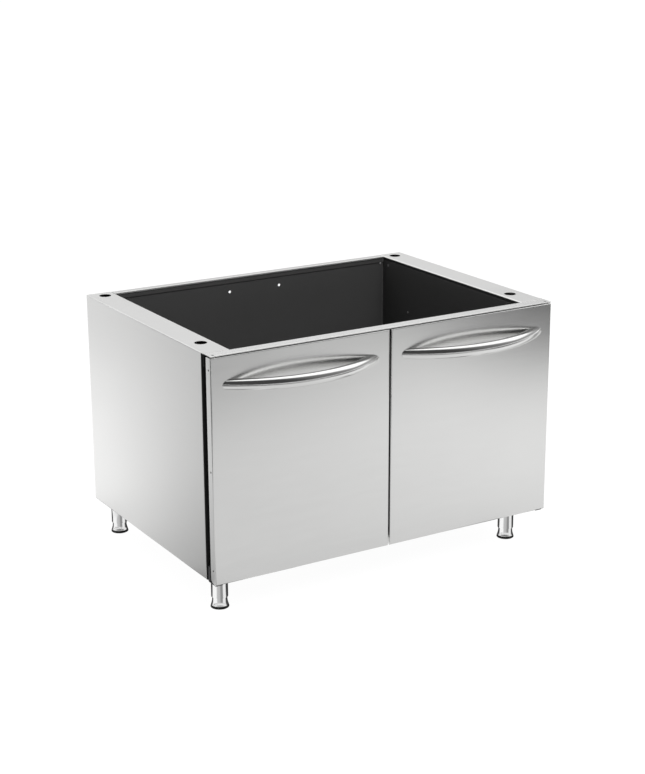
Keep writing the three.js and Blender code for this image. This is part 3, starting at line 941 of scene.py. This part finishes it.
@dataclass
class Foot:
    """An adjustable foot: a bright sleeve, a flared neck that slides in it, and a rubber rim."""

    end: str
    hand: str
    sleeve_wall: float = 1.4 * MM
    sleeve_mouth: float = 22.5 * MM
    sleeve_ceiling: float = 4 * MM
    spindle_radius: float = 4 * MM
    clearance: float = 0.3 * MM
    flare_height: float = 16 * MM
    flare_power: float = 1.4
    flare_steps: int = 14
    base_height: float = 0.5 * MM
    bore_floor: float = 10 * MM
    pad_top_radius: float = 17.9 * MM
    seat: float = 79.7 * MM
    spindle_fillet: float = 0.6 * MM
    mouth_fillets: tuple[float, float] = (0.2 * MM, 0.35 * MM)
    seat_fillet: float = 0.4 * MM
    base_fillet: float = 0.2 * MM
    neck_fillets: tuple[float, float] = (0.8 * MM, 0.3 * MM)
    pad_fillets: tuple[float, float] = (0.9 * MM, 0.5 * MM)

    def build(self) -> list[bpy.types.Object]:
        """Turn the three pieces.

        Returns:
            The sleeve, the post and the pad.
        """
        name = f"{self.end}_{self.hand}_foot"
        sleeve, post, pad = self._sleeve(name), self._post(name), self._pad(name)
        for piece, body, node, finish in (
            (sleeve, "carcass", f"{name}_sleeve", FOOT_STEEL),
            (post, name, f"{name}_post", FOOT_STEEL),
            (pad, name, f"{name}_pad", RUBBER),
        ):
            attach(piece, body)
            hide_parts(node)
        return [sleeve, post, pad]

    @staticmethod
    def _measured(node: str) -> tuple[Vector, float, float, float]:
        """A turned node's centre, radius, foot and top."""
        low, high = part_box(node)
        return (low + high) / 2, (high.x - low.x) / 2, low.z, high.z

    def _sleeve(self, name: str) -> bpy.types.Object:
        """The sleeve, and the spindle that rises through it."""
        centre, radius, foot, top = self._measured(f"{name}_sleeve")
        bore = radius - self.sleeve_wall
        corners = [
            (0.0, foot),
            (self.spindle_radius, foot),
            (self.spindle_radius, self.seat - self.sleeve_ceiling),
            (bore, self.seat - self.sleeve_ceiling),
            (bore, self.sleeve_mouth),
            (radius, self.sleeve_mouth),
            (radius, self.seat),
            (self.spindle_radius, self.seat),
            (self.spindle_radius, top),
            (0.0, top),
        ]
        inner, outer = self.mouth_fillets
        rod = self.spindle_fillet
        fillets = {1: rod, 4: inner, 5: outer, 6: self.seat_fillet, 8: rod}
        return turned(f"{name}_sleeve_bright", filleted(corners, fillets), centre, FOOT_STEEL)

    def _post(self, name: str) -> bpy.types.Object:
        """The neck, which slides in the sleeve and flares to the foot's base."""
        _, sleeve_radius, _, _ = self._measured(f"{name}_sleeve")
        centre, base, foot, top = self._measured(f"{name}_post")
        neck = sleeve_radius - self.sleeve_wall - self.clearance
        bore = self.spindle_radius + self.clearance
        steps, rim = self.flare_steps, foot + self.base_height
        flare = [
            (
                neck + (base - neck) * (1 - step / steps) ** self.flare_power,
                rim + (self.flare_height - foot - self.base_height) * step / steps,
            )
            for step in range(steps + 1)
        ]
        upper = [(neck, top), (bore, top), (bore, self.bore_floor), (0.0, self.bore_floor)]
        corners = [(0.0, foot), (base, foot), *flare, *upper]
        neck_top = len(corners) - len(upper)
        outer, inner = self.neck_fillets
        fillets = {1: self.base_fillet, neck_top: outer, neck_top + 1: inner}
        return turned(f"{name}_post_bright", filleted(corners, fillets), centre, FOOT_STEEL)

    def _pad(self, name: str) -> bpy.types.Object:
        """The rubber rim that stands on the floor."""
        centre, radius, foot, top = self._measured(f"{name}_pad")
        corners = [(0.0, foot), (radius, foot), (self.pad_top_radius, top), (0.0, top)]
        fillets = dict(enumerate(self.pad_fillets, 1))
        return turned(f"{name}_pad_rubber", filleted(corners, fillets), centre, RUBBER)


@dataclass
class Fasteners:
    """The small fasteners that show on the doors' edges and inside the cabinet."""

    edge_top: float = 24 * MM
    edge_foot: float = 29 * MM
    edge_setback: float = 8 * MM
    edge_count: int = 3
    wall_setback: float = 35 * MM
    wall_places: tuple[tuple[float, float], ...] = ((0.0, 19 * MM), (84 * MM, 114 * MM))
    wall_radius: float = 3 * MM
    tab_inset: float = 9 * MM
    tab_drop: float = 13 * MM
    tab_radius: float = 2.4 * MM
    screw_rise: float = 1.2 * MM

    def build(self) -> list[bpy.types.Object]:
        """Place every row.

        Returns:
            The finished rows.
        """
        made = []
        for hand, side in zip(HANDS, (-1.0, 1.0), strict=True):
            made += [self._door_edge(hand, side), *self._wall(hand, side), self._tab(hand, side)]
        return made

    def _door_edge(self, hand: str, side: float) -> bpy.types.Object:
        """Flush rivets up the hinge side of a door."""
        low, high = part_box(f"{hand}_door_outer_pan")
        edge = low.x if side < 0 else high.x
        start = Vector((edge, low.y + self.edge_setback, low.z + self.edge_foot))
        rise = (high.z - self.edge_top - start.z) / (self.edge_count - 1)
        row = {"step": Vector((0.0, 0.0, rise)), "count": self.edge_count}
        facing = Vector((side, 0.0, 0.0))
        name, body = f"{hand}_door_rivets", f"{hand}_door"
        return Spots(name, body, start, facing, SPOT_STEEL, **row).build()

    def _wall(self, hand: str, side: float) -> list[bpy.types.Object]:
        """Screws that hold a side wall's liner, near the rear of the cabinet."""
        low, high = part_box(f"{hand}_inner_liner")
        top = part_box(f"{hand}_side_panel")[1].z
        face = high.x if side < 0 else low.x
        facing = Vector((-side, 0.0, 0.0))
        radius, rise = self.wall_radius, self.screw_rise
        rows = []
        for number, (advance, drop) in enumerate(self.wall_places, 1):
            start = Vector((face, high.y - self.wall_setback - advance, top - drop))
            name = f"{hand}_liner_screw_{number}"
            rows.append(Spots(name, "carcass", start, facing, SCREW_COAT, radius, rise).build())
        return rows

    def _tab(self, hand: str, side: float) -> bpy.types.Object:
        """A screw at one end of the rear panel, just under the rear rail."""
        low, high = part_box("rear_panel")
        start = Vector((side * (high.x - self.tab_inset), low.y, high.z - self.tab_drop))
        facing = Vector((0.0, -1.0, 0.0))
        name = f"{hand}_rear_panel_screw"
        radius, rise = self.tab_radius, self.screw_rise
        return Spots(name, "carcass", start, facing, TAB_COAT, radius, rise).build()


@dataclass(frozen=True)
class Viewpoint:
    """The camera, at the photograph's viewing angle."""

    place: Triple = (-1.7739, -2.9428, 1.3962)
    turn_degrees: float = 31.0212
    dip_degrees: float = 16.8956
    roll_degrees: float = -0.2478
    lens: float = 78.70
    sensor_width: float = 36.0
    farthest: float = 100.0

    def build(self) -> None:
        """Make the scene's camera."""
        turn, dip = math.radians(self.turn_degrees), math.radians(self.dip_degrees)
        level = math.cos(dip)
        ahead = Vector((math.sin(turn) * level, math.cos(turn) * level, -math.sin(dip)))
        right = Vector((math.cos(turn), -math.sin(turn), 0.0))
        above = right.cross(ahead)
        roll = math.radians(self.roll_degrees)
        across = right * math.cos(roll) + above * math.sin(roll)
        up = above * math.cos(roll) - right * math.sin(roll)
        data = bpy.data.cameras.new("viewpoint")
        data.lens = self.lens
        data.sensor_width = self.sensor_width
        data.clip_end = self.farthest
        camera = bpy.data.objects.new("viewpoint", data)
        turned_axes = Matrix((across, up, -ahead)).transposed().to_4x4()
        camera.matrix_world = Matrix.Translation(self.place) @ turned_axes
        bpy.context.scene.collection.objects.link(camera)
        bpy.context.scene.camera = camera


@dataclass
class Studio:
    """A floor and surroundings that show white, and that steel mirrors in pale and dark parts."""

    floor_span: float = 60.0
    floor_grey: float = 0.75
    shadow_share: float = 0.1
    paper_glow: float = 0.97
    corner_shade: float = 0.85
    foot_reach: float = 0.17
    foot_fade: float = 0.06
    pattern_heading: float = -121.0
    foot_stops: tuple[tuple[float, float], ...] = (
        (0.21, 0.05), (0.25, 1.0), (0.39, 1.0), (0.43, 0.55), (0.52, 0.5),
        (0.55, 0.28), (0.61, 0.28), (0.64, 0.88), (0.73, 0.85), (0.76, 0.05),
    )
    shortest_reach: float = 0.0001
    ceiling_glow: float = 1.35
    lamp_place: Triple = (-0.1, -2.0, 2.5)
    lamp_aim: Triple = (0.0, 0.0, 0.3)
    lamp_span: float = 2.0
    lamp_power: float = 60.0

    def build(self) -> None:
        """Set the stage, the lamp and the surroundings."""
        bpy.context.scene.view_settings.view_transform = "Standard"
        self._floor()
        self._surroundings()
        self._lamp()

    def _floor(self) -> None:
        """Lay the floor."""
        shape = bmesh.new()
        bmesh.ops.create_grid(shape, x_segments=1, y_segments=1, size=self.floor_span / 2)
        mesh = bpy.data.meshes.new("floor")
        shape.to_mesh(mesh)
        shape.free()
        mesh.materials.append(self._floor_material())
        floor = placed("floor", mesh, None)

    def _floor_material(self) -> bpy.types.Material:
        """White with a faint shadow to the camera, the sheen in mirrors, and grey to the rest."""
        material = bpy.data.materials.new("floor_white")
        material.use_nodes = True
        sheet = NodeSheet(material.node_tree)
        x, y, _ = sheet.axes(sheet.add("ShaderNodeTexCoord", output="Object"))
        glow = sheet.glow("ShaderNodeEmission", self.paper_glow)
        shown = sheet.add("ShaderNodeAddShader", {}, {0: sheet.matt(self.shadow_share), 1: glow})
        strength = self._sheen(x, y)
        beside = self._beside(x, y)
        for place in self._foot_places():
            strength = self._foot_sheen(strength, x - place.x, y - place.y, beside)
        sheen = sheet.glow("ShaderNodeEmission", strength)
        mirrored = sheet.ray("Is Glossy Ray").at_least(sheet.ray("Is Transmission Ray"))
        plain = sheet.matt(self.floor_grey)
        unseen = sheet.add("ShaderNodeMixShader", {}, {0: mirrored, 1: plain, 2: sheen})
        seen = sheet.ray("Is Camera Ray")
        both = sheet.add("ShaderNodeMixShader", {}, {0: seen, 1: unseen, 2: shown})
        sheet.node("ShaderNodeOutputMaterial", {}, {"Surface": both})
        return material

    @staticmethod
    def _beside(x: Value, y: Value) -> Value:
        """1 on the floor that the cabinet's sides mirror, and 0 elsewhere."""
        outward = x.size() + y.between(-0.1, 0.15) * 0.06
        return outward.between(0.47, 0.53) * y.between(-0.2, -0.05)

    def _sheen(self, x: Value, y: Value) -> Value:
        """How bright the floor is where steel mirrors it, but for the sectors round the feet.

        Args:
            x: The place across the floor.
            y: The place along it. The doors face its lower values.

        Returns:
            The strength: one for the floor in front, another beside and behind, and less far to
            the left of the front.
        """
        corner = (0 - x).between(1.05, 1.35) * (1 - y.between(0.1, 0.6))
        front = self._front_sheen(x, 0 - y)
        flank = self._flank_sheen(x.size(), y)
        return front.towards(flank, y.between(-0.35, -0.1)) * (1 - corner * self.corner_shade)

    @staticmethod
    def _front_sheen(x: Value, ahead: Value) -> Value:
        """How bright the floor in front is. It falls away far ahead, most to the far right."""
        right = x - ahead * 0.8
        depth = 0.5 - x.between(0.4, 1.0) * 0.16 + x.between(1.0, 1.7) * 0.46
        fall = (ahead + right.between(-0.2, 0.1) * 0.2).between(1.0, 2.15)
        level = (0.755 + x.between(-0.2, 1.0) * 0.18) * (1 - fall * depth)
        close = 0.95 + ahead.between(0.4, 0.6) * 0.05
        right_dim = right.between(-0.2, 0.2) * ahead.between(1.15, 1.85) * 0.4
        left_dim = (1 - x.between(0.35, 0.75)) * ahead.between(1.4, 1.9) * 0.13
        return level * close * (1 - right_dim) * (1 - left_dim)

    @staticmethod
    def _flank_sheen(aside: Value, y: Value) -> Value:
        """How bright the floor beside and behind is. It is darker close by."""
        slant = y - aside * 2.1 + 1.05
        level = (0.58 + slant.between(-0.25, 0.65) * 0.7) * (1 - y.between(1.2, 2.1) * 0.18)
        frontal = 0.74 + y.between(-0.15, 0.65) * 0.26
        close = 0.89 + aside.between(0.48, 0.62) * 0.11
        far_dim = aside.between(0.95, 1.2) * (1 - y.between(1.3, 2.1)) * 0.16
        return level * frontal * close * (1 - far_dim)

    @staticmethod
    def _foot_places() -> list[Vector]:
        """Where the feet stand."""
        boxes = [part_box(f"{end}_{hand}_foot_pad") for end in ENDS for hand in HANDS]
        return [(low + high) / 2 for low, high in boxes]

    def _foot_sheen(self, strength: Value, x: Value, y: Value, beside: Value) -> Value:
        """Give the floor round a foot the pale and dark sectors that its bright sleeve mirrors.

        Args:
            strength: How bright the floor is without the foot.
            x: The place across the floor, from the foot.
            y: The place along it, from the foot.
            beside: 1 where the cabinet's sides mirror the floor, which has no sectors there.

        Returns:
            The strength with the foot's sectors.
        """
        turn = math.radians(self.pattern_heading)
        along = x * math.cos(turn) + y * math.sin(turn)
        aside = y * math.cos(turn) - x * math.sin(turn)
        sector = along.heading(aside) / (2 * math.pi) + 0.5
        stops = {"stops": self.foot_stops}
        pattern = strength.sheet.add("ShaderNodeValToRGB", stops, {"Fac": sector})
        distance = (along * along + aside * aside) ** 0.5
        near = 1 - distance.between(self.foot_reach, self.foot_reach + self.foot_fade)
        return strength.towards(pattern, near * (1 - beside))

    def _surroundings(self) -> None:
        """White to the camera. To the rest, bright overhead, right and behind, dark in front."""
        world = bpy.data.worlds.new("surroundings")
        bpy.context.scene.world = world
        world.use_nodes = True
        sheet = NodeSheet(world.node_tree)
        x, y, z = sheet.axes(sheet.add("ShaderNodeTexCoord", output="Generated"))
        reach = (x * x + y * y).at_least(self.shortest_reach) ** 0.5
        rear_right = (x + y) * math.sqrt(0.5) / reach
        rightward = (x / reach).between(0.57, 0.7)
        wall = (0.06 + rear_right.between(-0.65, 0.95) * 0.61) * (1 - rightward * 0.36)
        edge = y + 0.06 + x.between(0.0, 0.6) * 0.2
        ceiling = wall.towards(self.ceiling_glow, edge.between(-0.1, 0.1))
        horizon = 0.9 + rear_right.between(0.3, 0.9) * 0.15
        lower = horizon.towards(wall, z.between(0.05, 0.17))
        strength = lower.towards(ceiling, z.between(0.36, 0.54))
        strength = strength.towards(1.0, sheet.ray("Is Camera Ray"))
        glow = sheet.glow("ShaderNodeBackground", strength)
        sheet.node("ShaderNodeOutputWorld", {}, {"Surface": glow})

    def _lamp(self) -> None:
        """Hang a soft square lamp that faces the cabinet and doesn't show in the steel."""
        data = bpy.data.lights.new("front_lamp", "AREA")
        data.shape = "SQUARE"
        data.size = self.lamp_span
        data.energy = self.lamp_power
        lamp = bpy.data.objects.new("front_lamp", data)
        lamp.visible_glossy = False
        beam = Vector(self.lamp_aim) - Vector(self.lamp_place)
        turn = beam.to_track_quat("-Z", "Y").to_matrix().to_4x4()
        lamp.matrix_world = Matrix.Translation(self.lamp_place) @ turn
        bpy.context.scene.collection.objects.link(lamp)


def report(pieces: Iterable[bpy.types.Object]) -> None:
    """Say what was made."""
    for piece in pieces:
        log.info("%s: %d faces", piece.name, len(piece.data.polygons))


def main() -> None:
    """Build the cabinet's looks around its frame."""
    logging.basicConfig(level=logging.INFO, format="%(name)s: %(message)s")
    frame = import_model()
    Viewpoint().build()
    Studio().build()
    report(Fittings(frame["nodes"]).build())
    report(Handle(hand).build() for hand in HANDS)
    for end in ENDS:
        for hand in HANDS:
            report(Foot(end, hand).build())
    report(Fasteners().build())


if __name__ == "__main__":
    main()
